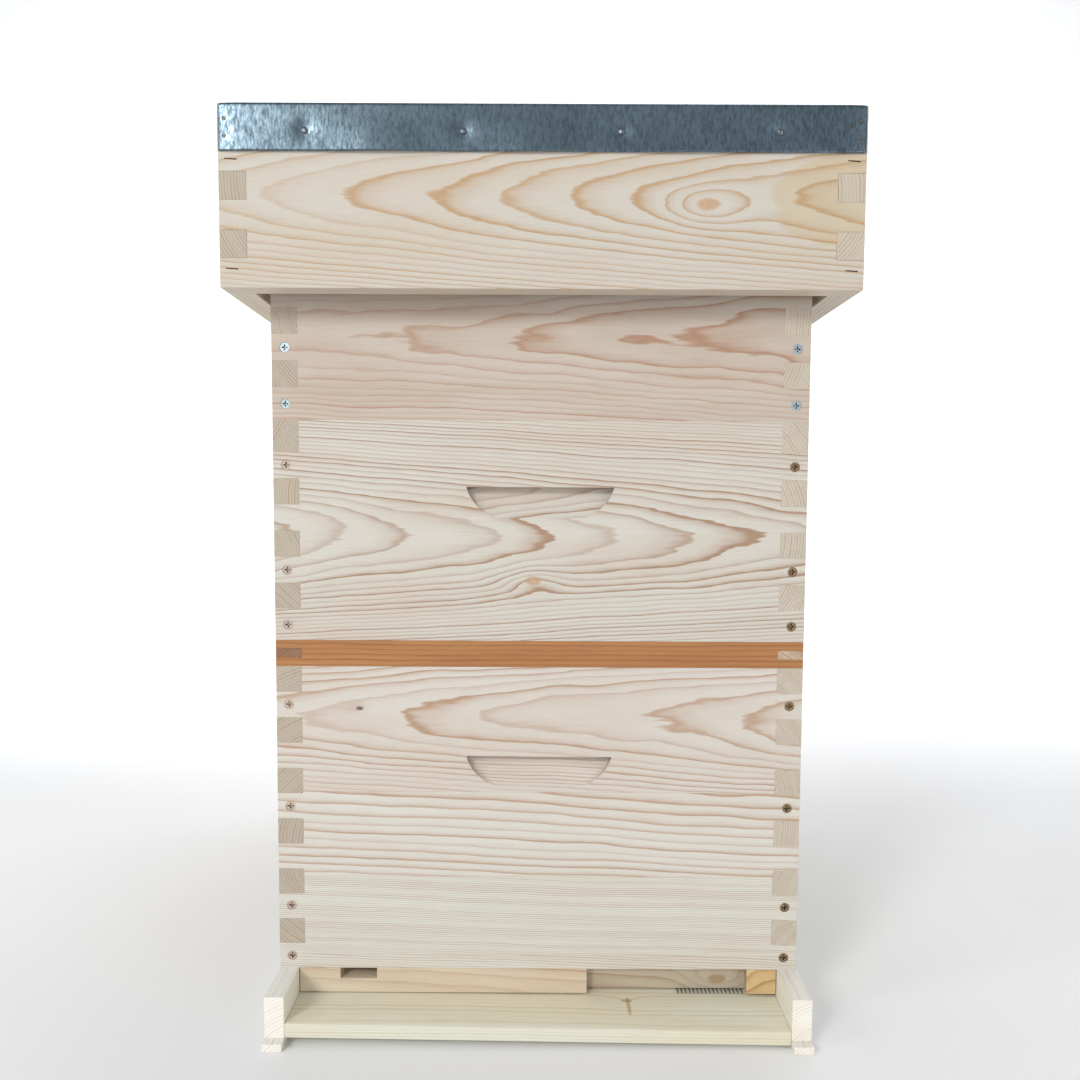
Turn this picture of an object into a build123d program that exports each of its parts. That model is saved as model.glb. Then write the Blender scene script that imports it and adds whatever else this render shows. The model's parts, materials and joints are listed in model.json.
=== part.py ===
from build123d import *
import os

# A ten-frame Langstroth-pattern beehive, in millimetres.
# +Z is up and the entrance faces -Y. The origin is the middle of the footprint, on the ground.

# ---------------------------------------------------------------- driving dimensions
BOX_X = 410.0              # outside width of every hive body
BOX_Y = 505.0              # outside length of every hive body
WALL = 20.0                # thickness of the body boards
DEEP_H = 242.0             # brood box height
MEDIUM_H = 169.5           # super height
FLOOR_H = 38.0             # bottom board, from the ground to the underside of the brood box
RIM_H = 20.5               # height of the queen excluder and of the inner cover

ROOF_SIDE_GAP = 7.0        # between the roof boards and the super, left and right
ROOF_END_GAP = 9.0         # the same at the front and rear, with the roof centred
ROOF_SLIP = 6.0            # how far the loose roof sits forward of centre
ROOF_RIM_Z = 561.0         # lower edge of the roof boards
ROOF_BOARD_H = 123.0
ROOF_DECK_T = 6.0
SHEET_T = 0.6
SKIRT_H = 34.0             # turned-down edge of the roof sheet
NAIL_HEAD_T = 0.8

RAIL_FRONT = 48.0          # how far the floor rails stand out in front of the brood box
SKID_FRONT = 8.0           # how far the skids stand out beyond the rails

# ---------------------------------------------------------------- heights of the stack
BROOD_Z = FLOOR_H
EXCLUDER_Z = BROOD_Z + DEEP_H
SUPER_1_Z = EXCLUDER_Z + RIM_H
SUPER_2_Z = SUPER_1_Z + MEDIUM_H
COVER_Z = SUPER_2_Z + MEDIUM_H
COVER_TOP_Z = COVER_Z + RIM_H
ROOF_BOARD_TOP_Z = ROOF_RIM_Z + ROOF_BOARD_H
ROOF_TOP_Z = ROOF_BOARD_TOP_Z + ROOF_DECK_T

# ---------------------------------------------------------------- places in plan
ROOF_PROUD = ROOF_END_GAP - ROOF_SLIP + WALL + SHEET_T + NAIL_HEAD_T     # at the rear
MID_Y = (RAIL_FRONT + SKID_FRONT - ROOF_PROUD) / 2
HALF_X = BOX_X / 2
HALF_Y = BOX_Y / 2
FRONT_Y = MID_Y - HALF_Y
REAR_Y = MID_Y + HALF_Y
ROOF_MID_Y = MID_Y - ROOF_SLIP
HALF_IN_X = HALF_X - WALL
HALF_IN_Y = HALF_Y - WALL
ROOF_HALF_X = HALF_X + ROOF_SIDE_GAP + WALL
ROOF_HALF_Y = HALF_Y + ROOF_END_GAP + WALL

ENDS = (("front", -1), ("rear", 1))
FLANKS = (("left", -1), ("right", 1))
CUT = 1.0                  # how far a cutting block runs past the face it cuts

os.makedirs("parts", exist_ok=True)


# ---------------------------------------------------------------- helpers
def block(xs, ys, zs):
    """A box between two values along each axis, given in either order."""
    spans = [sorted(pair) for pair in (xs, ys, zs)]
    centre = [(low + high) / 2 for low, high in spans]
    size = [high - low for low, high in spans]
    return Pos(*centre) * Box(*size)


def minus(solid, tools):
    return solid.cut(*tools) if tools else solid


def place(plane, shape):
    return plane.location * shape


def save(node, pieces):
    """Write one node: one solid, or a group of separate solids."""
    solids = [solid for piece in pieces for solid in piece.solids()]
    result = solids[0] if len(solids) == 1 else Compound(children=solids)
    export_step(result, "parts/" + node + ".step")


def end_plane(side, x, z, half_y=HALF_Y, mid_y=MID_Y):
    """A place on a front (-1) or rear (+1) face: Y is up and Z points out of the wood."""
    return Plane(origin=(x, mid_y + side * half_y, z), x_dir=(-side, 0, 0), z_dir=(0, side, 0))


def flank_plane(hand, y, z, half_x=HALF_X):
    """The same on a left (-1) or right (+1) face."""
    return Plane(origin=(hand * half_x, y, z), x_dir=(0, hand, 0), z_dir=(hand, 0, 0))


def turned(points):
    """A turned piece about Z from half of its outline, given as (radius, height) points."""
    with BuildSketch(Plane.XZ) as section:
        with BuildLine():
            Polyline(*points, close=True)
        make_face()
    return revolve(section.sketch, Axis.Z).solids()[0]


# ---------------------------------------------------------------- finger-jointed boards
def fingers(heights):
    """(low, high, is_side) of each finger above the board's lower edge; the top one is a side's."""
    edge = sum(heights)
    bands = []
    for index, height in enumerate(heights):
        bands.append((edge - height, edge, index % 2 == 0))
        edge -= height
    return bands


MEDIUM_END_FINGER = 24.5
MEDIUM_FINGER = (MEDIUM_H - 2 * MEDIUM_END_FINGER) / 6
DEEP_FINGERS = fingers([DEEP_H / 12] * 12)
MEDIUM_FINGERS = fingers([MEDIUM_END_FINGER] + [MEDIUM_FINGER] * 6 + [MEDIUM_END_FINGER])
ROOF_FINGERS = fingers([20.0, 21.0] * 3)


def end_board(side, half_x, half_y, base_z, bands, mid_y=MID_Y):
    """A front or rear board, notched at both ends for the fingers of the side boards."""
    height = max(high for _, high, _ in bands)
    outer = mid_y + side * half_y
    inner = outer - side * WALL
    board = block((-half_x, half_x), (outer, inner), (base_z, base_z + height))
    past = (outer + side * CUT, inner - side * CUT)
    notches = []
    for low, high, is_side in bands:
        if is_side:
            for _, hand in FLANKS:
                across = (hand * (half_x - WALL), hand * (half_x + CUT))
                notches.append(block(across, past, (base_z + low, base_z + high)))
    return minus(board, notches)


def side_board(hand, half_x, half_y, base_z, bands, mid_y=MID_Y):
    """A left or right board, notched at both ends for the fingers of the end boards."""
    height = max(high for _, high, _ in bands)
    outer = hand * half_x
    inner = hand * (half_x - WALL)
    board = block((outer, inner), (mid_y - half_y, mid_y + half_y), (base_z, base_z + height))
    past = (outer + hand * CUT, inner - hand * CUT)
    notches = []
    for low, high, is_side in bands:
        if not is_side:
            for _, side in ENDS:
                along = (mid_y + side * (half_y - WALL), mid_y + side * (half_y + CUT))
                notches.append(block(past, along, (base_z + low, base_z + high)))
    return minus(board, notches)


# ---------------------------------------------------------------- hand holds
HOLD_TOP_W = 114.0
HOLD_BOTTOM_W = 62.0
HOLD_H = 24.0
HOLD_DEPTH = 12.0
HOLD_CHEEK_R = 34.0        # radius of the two curved ends


def hand_hold():
    """The scoop: deep under a straight top edge at Y = 0, running out to nothing below it."""
    half_top = HOLD_TOP_W / 2
    half_bottom = HOLD_BOTTOM_W / 2
    with BuildSketch(Plane.XY) as outline:
        with BuildLine():
            Line((-half_top, 0), (half_top, 0))
            RadiusArc((half_top, 0), (half_bottom, -HOLD_H), HOLD_CHEEK_R)
            Line((half_bottom, -HOLD_H), (-half_bottom, -HOLD_H))
            RadiusArc((-half_bottom, -HOLD_H), (-half_top, 0), HOLD_CHEEK_R)
        make_face()
    column = extrude(outline.sketch, amount=HOLD_DEPTH + CUT, both=True)
    with BuildSketch(Plane.YZ) as section:
        with BuildLine():
            Polyline((0, CUT), (0, -HOLD_DEPTH), (-HOLD_H, 0), (-HOLD_H, CUT), close=True)
        make_face()
    wedge = extrude(section.sketch, amount=HOLD_TOP_W, both=True)
    return (column & wedge).solids()[0]


HAND_HOLD = hand_hold()

# ---------------------------------------------------------------- countersunk screws
SCREW_HEAD_R = 3.8
SCREW_SHANK_R = 2.0
SCREW_POINT_R = 0.3
SCREW_SINK = 0.5           # head below the surface of the wood
SCREW_CONE = 2.4
SCREW_LENGTH = 40.0
SCREW_POINT = 5.0
SCREW_INSET = 10.0         # from the corner of the box
RECESS_L = 4.4             # cross recess in the head
RECESS_W = 1.1
RECESS_DEEP = 1.5


def screw_outline(top):
    """Half outline of a countersunk screw along -Z whose cut or head starts at the given top."""
    return [
        (0, top),
        (SCREW_HEAD_R, top),
        (SCREW_HEAD_R, -SCREW_SINK - 0.1),
        (SCREW_SHANK_R, -SCREW_SINK - SCREW_CONE),
        (SCREW_SHANK_R, SCREW_POINT - SCREW_LENGTH),
        (SCREW_POINT_R, -SCREW_LENGTH),
        (0, -SCREW_LENGTH),
    ]


def screw():
    body = turned(screw_outline(-SCREW_SINK))
    arms = [Box(RECESS_L, RECESS_W, 2 * RECESS_DEEP), Box(RECESS_W, RECESS_L, 2 * RECESS_DEEP)]
    return minus(body, [Pos(0, 0, -SCREW_SINK) * arm for arm in arms])


SCREW = screw()
SCREW_HOLE = turned(screw_outline(CUT))

# ---------------------------------------------------------------- hive bodies
REBATE_DEEP = 10.0         # how far the frame rebate is cut into the end boards
REBATE_H = 16.0
DEEP_SCREW_DROPS = (30.0, 111.0, 191.0, 232.0)      # below the top of the brood box
MEDIUM_SCREW_DROPS = (34.5, 115.0, 157.5)
DEEP_HOLD_DROP = 70.5
MEDIUM_HOLD_DROP = 50.5


def hive_body(name, base_z, bands, screw_drops, hold_drop):
    """Four finger-jointed boards, their screws, and the rebates that the frames hang in."""
    top = base_z + max(high for _, high, _ in bands)
    planes = []
    for _, side in ENDS:
        for drop in screw_drops:
            for _, hand in FLANKS:
                planes.append(end_plane(side, hand * (HALF_X - SCREW_INSET), top - drop))
    holes = [place(plane, SCREW_HOLE) for plane in planes]
    for side_name, side in ENDS:
        ledge = (MID_Y + side * (HALF_IN_Y - CUT), MID_Y + side * (HALF_IN_Y + REBATE_DEEP))
        rebate = block((-HALF_IN_X, HALF_IN_X), ledge, (top - REBATE_H, top + CUT))
        hold = place(end_plane(side, 0, top - hold_drop), HAND_HOLD)
        board = end_board(side, HALF_X, HALF_Y, base_z, bands)
        save(name + "_" + side_name + "_board", [minus(board, [rebate, hold] + holes)])
    for side_name, hand in FLANKS:
        hold = place(flank_plane(hand, MID_Y, top - hold_drop), HAND_HOLD)
        board = side_board(hand, HALF_X, HALF_Y, base_z, bands)
        save(name + "_" + side_name + "_board", [minus(board, [hold] + holes)])
    save(name + "_screws", [place(plane, SCREW) for plane in planes])


# ---------------------------------------------------------------- frames
FRAME_COUNT = 10
FRAME_PITCH = 36.0
FRAME_L = 446.0            # over the end bars
TOP_BAR_L = 482.0
TOP_BAR_W = 27.0
TOP_BAR_T = 19.0
LUG_T = 9.5
END_BAR_T = 9.5
SHOULDER_W = 35.0          # wide upper part of an end bar, which spaces the frames
SHANK_W = 28.0
BOTTOM_BAR_W = 19.0
BOTTOM_BAR_T = 8.0
FOUNDATION_T = 1.0
DEEP_FRAME_H = 232.0
DEEP_SHOULDER_H = 88.0
MEDIUM_FRAME_H = 159.0
MEDIUM_SHOULDER_H = 75.0


def frame_set(name, box_top, frame_h, shoulder_h):
    """Ten self-spacing frames hanging by their lugs in a hive body."""
    top = box_top - REBATE_H + LUG_T
    low = top - frame_h
    half_l = FRAME_L / 2
    between = (MID_Y - half_l + END_BAR_T, MID_Y + half_l - END_BAR_T)
    over = (MID_Y - half_l, MID_Y + half_l)
    lugs_y = (MID_Y - TOP_BAR_L / 2, MID_Y + TOP_BAR_L / 2)
    top_bars, end_bars, bottom_bars, foundation = [], [], [], []
    for index in range(FRAME_COUNT):
        x = (index - (FRAME_COUNT - 1) / 2) * FRAME_PITCH
        bar_x = (x - TOP_BAR_W / 2, x + TOP_BAR_W / 2)
        bottom_x = (x - BOTTOM_BAR_W / 2, x + BOTTOM_BAR_W / 2)
        bar = block(bar_x, lugs_y, (top - LUG_T, top))
        bar = bar.fuse(block(bar_x, between, (top - TOP_BAR_T, top))).clean()
        top_bars.append(bar)
        for _, side in ENDS:
            thick = (MID_Y + side * half_l, MID_Y + side * (half_l - END_BAR_T))
            past = (MID_Y + side * (half_l + CUT), MID_Y + side * (half_l - END_BAR_T - CUT))
            shoulder_x = (x - SHOULDER_W / 2, x + SHOULDER_W / 2)
            shank_x = (x - SHANK_W / 2, x + SHANK_W / 2)
            upper = block(shoulder_x, thick, (top - shoulder_h, top - LUG_T))
            lower = block(shank_x, thick, (low, top - shoulder_h))
            slot = block(bottom_x, past, (low - CUT, low + BOTTOM_BAR_T))
            end_bars.append(minus(upper.fuse(lower).clean(), [slot]))
        bottom_bars.append(block(bottom_x, over, (low, low + BOTTOM_BAR_T)))
        sheet_x = (x - FOUNDATION_T / 2, x + FOUNDATION_T / 2)
        foundation.append(block(sheet_x, between, (low + BOTTOM_BAR_T, top - TOP_BAR_T)))
    save(name + "_top_bars", top_bars)
    save(name + "_end_bars", end_bars)
    save(name + "_bottom_bars", bottom_bars)
    save(name + "_foundation", foundation)


# ---------------------------------------------------------------- bottom board
RAIL_T = 15.0
RAIL_IN = HALF_X - RAIL_T
SKID_T = 6.0
RAIL_FRONT_Y = FRONT_Y - RAIL_FRONT
LANDING_T = 10.8
LANDING_BACK_Y = FRONT_Y + 34.0
LANDING_TOP_BACK = 17.8
LANDING_TOP_LEFT = 17.6    # the board is a little twisted: its front edge falls to the right
LANDING_TOP_RIGHT = 13.2
CROSS_BAR_T = 18.0
CROSS_BAR_TOP_Z = 23.0     # the mesh lies on the front cross bar
MESH_T = 1.2
MESH_WIRE = 1.6
MESH_PITCH = 14.0
MESH_HEM = 8.0
KERF = 3.0                 # depth of the saw kerf that holds the mesh
TRAY_Z = 11.5
TRAY_T = 4.0
TRAY_GROOVE = 5.0
TRAY_PLAY = 0.5
TRAY_FRONT_Y = LANDING_BACK_Y + CROSS_BAR_T + 4.0
TRAY_LIP_T = 6.0
TRAY_LIP_H = 26.0
REAR_BAR_Z = 17.0
FLOOR_SCREW_Z = 11.5


def landing_board():
    """The alighting board: level at the back, falling forwards, most at the right."""
    def section(y, left, right):
        corners = [
            (-RAIL_IN, y, left - LANDING_T),
            (RAIL_IN, y, right - LANDING_T),
            (RAIL_IN, y, right),
            (-RAIL_IN, y, left),
        ]
        return Face(Wire.make_polygon([Vector(*corner) for corner in corners], close=True))

    front = section(RAIL_FRONT_Y, LANDING_TOP_LEFT, LANDING_TOP_RIGHT)
    back = section(LANDING_BACK_Y, LANDING_TOP_BACK, LANDING_TOP_BACK)
    return loft([front, back], ruled=True).solids()[0]


def wire_plate(half_x, y0, y1, z0, thick, opening_x, opening_y, pitch_x, pitch_y, hem):
    """A welded wire grid as one thin solid with a rectangular opening between every two wires."""
    count_x = int((2 * half_x - 2 * hem) // pitch_x)
    count_y = int((y1 - y0 - 2 * hem) // pitch_y)
    with BuildSketch(Plane.XY.offset(z0)) as grid:
        with Locations((0, (y0 + y1) / 2)):
            Rectangle(2 * half_x, y1 - y0)
            with GridLocations(pitch_x, pitch_y, count_x, count_y):
                Rectangle(opening_x, opening_y, mode=Mode.SUBTRACT)
    return extrude(grid.sketch, amount=thick)


def bottom_board():
    screw_ys = (FRONT_Y - RAIL_FRONT / 2, LANDING_BACK_Y + CROSS_BAR_T / 2, REAR_Y - CROSS_BAR_T / 2)
    screw_zs = (FLOOR_SCREW_Z, FLOOR_SCREW_Z + 4.0, FLOOR_H - 10.0)
    planes = []
    for y, z in zip(screw_ys, screw_zs):
        for _, hand in FLANKS:
            planes.append(flank_plane(hand, y, z))
    holes = [place(plane, SCREW_HOLE) for plane in planes]
    mesh_ends = (LANDING_BACK_Y, REAR_Y - CROSS_BAR_T + KERF)
    mesh_zs = (CROSS_BAR_TOP_Z, CROSS_BAR_TOP_Z + MESH_T)
    mesh_kerf = block((-RAIL_IN - KERF, RAIL_IN + KERF), mesh_ends, mesh_zs)
    groove_half = RAIL_IN + TRAY_GROOVE
    groove_zs = (TRAY_Z - TRAY_PLAY, TRAY_Z + TRAY_T + TRAY_PLAY)
    groove = block((-groove_half, groove_half), (TRAY_FRONT_Y - CUT, REAR_Y + CUT), groove_zs)

    for name, hand in FLANKS:
        across = (hand * RAIL_IN, hand * HALF_X)
        rail = block(across, (RAIL_FRONT_Y, REAR_Y), (SKID_T, FLOOR_H))
        save("floor_rail_" + name, [minus(rail, [mesh_kerf, groove] + holes)])
        save("floor_skid_" + name, [block(across, (RAIL_FRONT_Y - SKID_FRONT, REAR_Y), (0, SKID_T))])

    save("landing_board", [minus(landing_board(), holes)])
    between = (-RAIL_IN, RAIL_IN)
    front_ys = (LANDING_BACK_Y, LANDING_BACK_Y + CROSS_BAR_T)
    front_bar = block(between, front_ys, (SKID_T, CROSS_BAR_TOP_Z))
    save("floor_front_bar", [minus(front_bar, holes)])
    rear_bar = block(between, (REAR_Y - CROSS_BAR_T, REAR_Y), (REAR_BAR_Z, FLOOR_H))
    save("floor_rear_bar", [minus(rear_bar, [mesh_kerf] + holes)])
    opening = MESH_PITCH - MESH_WIRE
    mesh = wire_plate(RAIL_IN + KERF, mesh_ends[0], mesh_ends[1], CROSS_BAR_TOP_Z, MESH_T,
                      opening, opening, MESH_PITCH, MESH_PITCH, MESH_HEM)
    save("floor_mesh", [mesh])
    save("floor_screws", [place(plane, SCREW) for plane in planes])


# ---------------------------------------------------------------- entrance reducer
REDUCER_H = 20.0
REDUCER_D = 20.0
REDUCER_GAP = 0.5          # at each end, so that it slides out
SMALL_NOTCH_X = 33.0       # from the left rail
SMALL_NOTCH_W = 29.0
SMALL_NOTCH_H = 8.7
LARGE_NOTCH_X = 229.0
LARGE_NOTCH_W = 127.0
LARGE_NOTCH_D = 9.0


def entrance_reducer():
    """A loose stick closing the entrance, with a small bee way on top and a long recess in front."""
    half = RAIL_IN - REDUCER_GAP
    zs = (FLOOR_H - REDUCER_H, FLOOR_H)
    stick = block((-half, half), (FRONT_Y, FRONT_Y + REDUCER_D), zs)
    small_x = SMALL_NOTCH_X - RAIL_IN
    small = block((small_x, small_x + SMALL_NOTCH_W), (FRONT_Y - CUT, FRONT_Y + REDUCER_D + CUT),
                  (FLOOR_H - SMALL_NOTCH_H, FLOOR_H + CUT))
    large_x = LARGE_NOTCH_X - RAIL_IN
    large = block((large_x, large_x + LARGE_NOTCH_W), (FRONT_Y - CUT, FRONT_Y + LARGE_NOTCH_D),
                  (FLOOR_H - REDUCER_H - CUT, FLOOR_H + CUT))
    save("entrance_reducer", [minus(stick, [small, large])])


# ---------------------------------------------------------------- monitoring tray
def monitoring_tray():
    """A thin board that slides out of the back, under the mesh, with a lip to pull."""
    half = RAIL_IN + TRAY_GROOVE - TRAY_PLAY
    board = block((-half, half), (TRAY_FRONT_Y, REAR_Y), (TRAY_Z, TRAY_Z + TRAY_T))
    save("monitoring_tray", [board])
    lip_low = TRAY_Z + TRAY_T / 2 - TRAY_LIP_H / 2
    lip = block((-RAIL_IN, RAIL_IN), (REAR_Y, REAR_Y + TRAY_LIP_T), (max(lip_low, 1.5), TRAY_LIP_H))
    save("tray_lip", [lip])


# ---------------------------------------------------------------- rims: excluder and inner cover
RIM_W = 20.0
TENON_H = 7.0
PANEL_GROOVE = 5.0
GRID_T = 2.0
GRID_WIRE = 2.1
GRID_PITCH = 6.4
GRID_BARS = 6
GRID_HEM = 8.0
PANEL_T = 5.0
COVER_HOLE_L = 90.0
COVER_HOLE_W = 32.0
COVER_NOTCH_W = 24.0
COVER_NOTCH_H = 7.0


def rim_rails(name, base_z, panel_t, extra_cuts):
    """Four square rails with open mortise-and-tenon corners, grooved inside for a panel."""
    mid_z = base_z + RIM_H / 2
    tenon = (mid_z - TENON_H / 2, mid_z + TENON_H / 2)
    zs = (base_z, base_z + RIM_H)
    groove_x = HALF_X - RIM_W + PANEL_GROOVE
    groove_y = HALF_Y - RIM_W + PANEL_GROOVE
    groove = block((-groove_x, groove_x), (MID_Y - groove_y, MID_Y + groove_y),
                   (mid_z - panel_t / 2, mid_z + panel_t / 2))
    for side_name, side in ENDS:
        thick = (MID_Y + side * HALF_Y, MID_Y + side * (HALF_Y - RIM_W))
        past = (MID_Y + side * (HALF_Y + CUT), MID_Y + side * (HALF_Y - RIM_W - CUT))
        rail = block((-HALF_X, HALF_X), thick, zs)
        slots = []
        for _, hand in FLANKS:
            slots.append(block((hand * (HALF_X - RIM_W), hand * (HALF_X + CUT)), past, tenon))
        cuts = slots + [groove] + (extra_cuts if side < 0 else [])
        save(name + "_" + side_name + "_rail", [minus(rail, cuts)])
    for side_name, hand in FLANKS:
        across = (hand * HALF_X, hand * (HALF_X - RIM_W))
        body = block(across, (MID_Y - HALF_Y + RIM_W, MID_Y + HALF_Y - RIM_W), zs)
        tongue = block(across, (MID_Y - HALF_Y, MID_Y + HALF_Y), tenon)
        save(name + "_" + side_name + "_rail", [minus(body.fuse(tongue).clean(), [groove])])
    return groove_x, groove_y


def queen_excluder():
    half_x, half_y = rim_rails("excluder", EXCLUDER_Z, GRID_T, [])
    low = EXCLUDER_Z + RIM_H / 2 - GRID_T / 2
    bar_pitch = (2 * half_y - 2 * GRID_HEM) / GRID_BARS
    grid = wire_plate(half_x, MID_Y - half_y, MID_Y + half_y, low, GRID_T,
                      GRID_PITCH - GRID_WIRE, bar_pitch - GRID_WIRE, GRID_PITCH, bar_pitch, GRID_HEM)
    save("excluder_wire_grid", [grid])


def inner_cover():
    top = COVER_TOP_Z
    notch = block((-COVER_NOTCH_W / 2, COVER_NOTCH_W / 2),
                  (FRONT_Y - CUT, FRONT_Y + RIM_W + CUT), (top - COVER_NOTCH_H, top + CUT))
    half_x, half_y = rim_rails("inner_cover", COVER_Z, PANEL_T, [notch])
    mid_z = COVER_Z + RIM_H / 2
    panel = block((-half_x, half_x), (MID_Y - half_y, MID_Y + half_y),
                  (mid_z - PANEL_T / 2, mid_z + PANEL_T / 2))
    with BuildSketch(Plane.XY.offset(mid_z - PANEL_T)) as hole:
        with Locations((0, MID_Y)):
            SlotOverall(COVER_HOLE_L, COVER_HOLE_W, rotation=90)
    save("inner_cover_panel", [minus(panel, [extrude(hole.sketch, amount=2 * PANEL_T)])])


# ---------------------------------------------------------------- roof
NAIL_HEAD_R = 2.4
NAIL_SHANK_R = 1.2
NAIL_LENGTH = 18.0         # shorter than the sheet and board together, so no point comes through
NAIL_PITCH = 113.0
NAIL_UP = 14.5             # above the lower edge of the skirt
RIVET_HEAD_R = 1.7
RIVET_LENGTH = 14.0
RIVET_INSET = 5.0
RIVET_UPS = (10.5, 22.5)
STAPLE_W = 9.0
STAPLE_WIRE = 1.2
STAPLE_LEG = 14.0
STAPLE_INSET = 9.0
STAPLE_SINK = 0.4          # crown below the surface of the wood
STAPLE_UPS = (13.5, 90.5)
SKIRT_LOW_Z = ROOF_TOP_Z + SHEET_T - SKIRT_H
BATTEN_W = 20.0


def pin(head_r, shank_r, length):
    """A nail with a flat head standing on Z = 0 and its shank along -Z."""
    return turned([(0, NAIL_HEAD_T), (head_r * 0.8, NAIL_HEAD_T), (head_r, 0.2), (head_r, 0),
                   (shank_r, 0), (shank_r, -length), (0, -length - 1)])


def pin_hole(shank_r, length):
    """The cut for a pin's shank, open at its head."""
    return turned([(0, CUT), (shank_r, CUT), (shank_r, -length), (0, -length - 1)])


def staple():
    """A wire staple with its crown just under Z = 0 and its two legs along -Z."""
    half = STAPLE_W / 2
    crown = block((-half, half), (-STAPLE_WIRE / 2, STAPLE_WIRE / 2),
                  (-STAPLE_WIRE - STAPLE_SINK, -STAPLE_SINK))
    legs = []
    for end in (-1, 1):
        across = (end * half, end * (half - STAPLE_WIRE))
        legs.append(block(across, (-STAPLE_WIRE / 2, STAPLE_WIRE / 2), (-STAPLE_LEG, -STAPLE_SINK)))
    return crown.fuse(*legs).clean()


def staple_hole(shape):
    """The cut a staple leaves: its own shape and the slot above its crown."""
    slot = block((-STAPLE_W / 2, STAPLE_W / 2), (-STAPLE_WIRE / 2, STAPLE_WIRE / 2),
                 (-STAPLE_SINK - 0.2, CUT))
    return shape.fuse(slot)


def roof_nail_planes():
    """Flat-headed nails through the skirt on all four sides."""
    z = SKIRT_LOW_Z + NAIL_UP
    skirt_x = ROOF_HALF_X + SHEET_T
    skirt_y = ROOF_HALF_Y + SHEET_T
    planes = []
    for _, side in ENDS:
        for step in (-1.5, -0.5, 0.5, 1.5):
            planes.append(end_plane(side, step * NAIL_PITCH, z, skirt_y, ROOF_MID_Y))
    for _, hand in FLANKS:
        for step in (-2, -1, 0, 1, 2):
            planes.append(flank_plane(hand, ROOF_MID_Y + step * NAIL_PITCH, z, skirt_x))
    return planes


def roof_corner_planes(inset, heights, half_y):
    """Places in from each corner of the front and rear, at each height."""
    planes = []
    for _, side in ENDS:
        for _, hand in FLANKS:
            for z in heights:
                planes.append(end_plane(side, hand * (ROOF_HALF_X - inset), z, half_y, ROOF_MID_Y))
    return planes


def roof():
    nails = roof_nail_planes()
    rivets = roof_corner_planes(RIVET_INSET, [SKIRT_LOW_Z + up for up in RIVET_UPS],
                                ROOF_HALF_Y + SHEET_T)
    staples = roof_corner_planes(STAPLE_INSET, [ROOF_RIM_Z + up for up in STAPLE_UPS], ROOF_HALF_Y)
    nail_cuts = [place(plane, pin_hole(NAIL_SHANK_R, NAIL_LENGTH)) for plane in nails]
    nail_cuts += [place(plane, pin_hole(NAIL_SHANK_R, RIVET_LENGTH)) for plane in rivets]
    staple_shape = staple()
    staple_cuts = [place(plane, staple_hole(staple_shape)) for plane in staples]

    for side_name, side in ENDS:
        board = end_board(side, ROOF_HALF_X, ROOF_HALF_Y, ROOF_RIM_Z, ROOF_FINGERS, ROOF_MID_Y)
        save("roof_" + side_name + "_board", [minus(board, nail_cuts + staple_cuts)])
    for side_name, hand in FLANKS:
        board = side_board(hand, ROOF_HALF_X, ROOF_HALF_Y, ROOF_RIM_Z, ROOF_FINGERS, ROOF_MID_Y)
        save("roof_" + side_name + "_board", [minus(board, nail_cuts + staple_cuts)])

    wide = (-ROOF_HALF_X, ROOF_HALF_X)
    long = (ROOF_MID_Y - ROOF_HALF_Y, ROOF_MID_Y + ROOF_HALF_Y)
    save("roof_deck", [block(wide, long, (ROOF_BOARD_TOP_Z, ROOF_TOP_Z))])
    inside = ROOF_HALF_X - WALL
    for side_name, side in ENDS:
        along = (MID_Y + side * HALF_Y, MID_Y + side * (HALF_Y - BATTEN_W))
        save("roof_batten_" + side_name,
             [block((-inside, inside), along, (COVER_TOP_Z, ROOF_BOARD_TOP_Z))])

    shell = block((wide[0] - SHEET_T, wide[1] + SHEET_T), (long[0] - SHEET_T, long[1] + SHEET_T),
                  (SKIRT_LOW_Z, ROOF_TOP_Z + SHEET_T))
    hollow = block(wide, long, (SKIRT_LOW_Z - CUT, ROOF_TOP_Z))
    save("roof_sheet", [minus(shell, [hollow] + nail_cuts)])
    save("roof_nails", [place(plane, pin(NAIL_HEAD_R, NAIL_SHANK_R, NAIL_LENGTH)) for plane in nails])
    save("roof_corner_pins",
         [place(plane, pin(RIVET_HEAD_R, NAIL_SHANK_R, RIVET_LENGTH)) for plane in rivets])
    save("roof_staples", [place(plane, staple_shape) for plane in staples])


# ---------------------------------------------------------------- the whole hive
bottom_board()
entrance_reducer()
monitoring_tray()
hive_body("brood", BROOD_Z, DEEP_FINGERS, DEEP_SCREW_DROPS, DEEP_HOLD_DROP)
frame_set("brood_frame", EXCLUDER_Z, DEEP_FRAME_H, DEEP_SHOULDER_H)
queen_excluder()
for super_name, super_z in (("super_1", SUPER_1_Z), ("super_2", SUPER_2_Z)):
    hive_body(super_name, super_z, MEDIUM_FINGERS, MEDIUM_SCREW_DROPS, MEDIUM_HOLD_DROP)
    frame_set(super_name + "_frame", super_z + MEDIUM_H, MEDIUM_FRAME_H, MEDIUM_SHOULDER_H)
inner_cover()
roof()
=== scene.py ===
"""A wooden beehive with a galvanised roof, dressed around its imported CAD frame."""
import json
import math
import random

import bmesh
import bpy
from mathutils import Matrix, Vector

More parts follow.
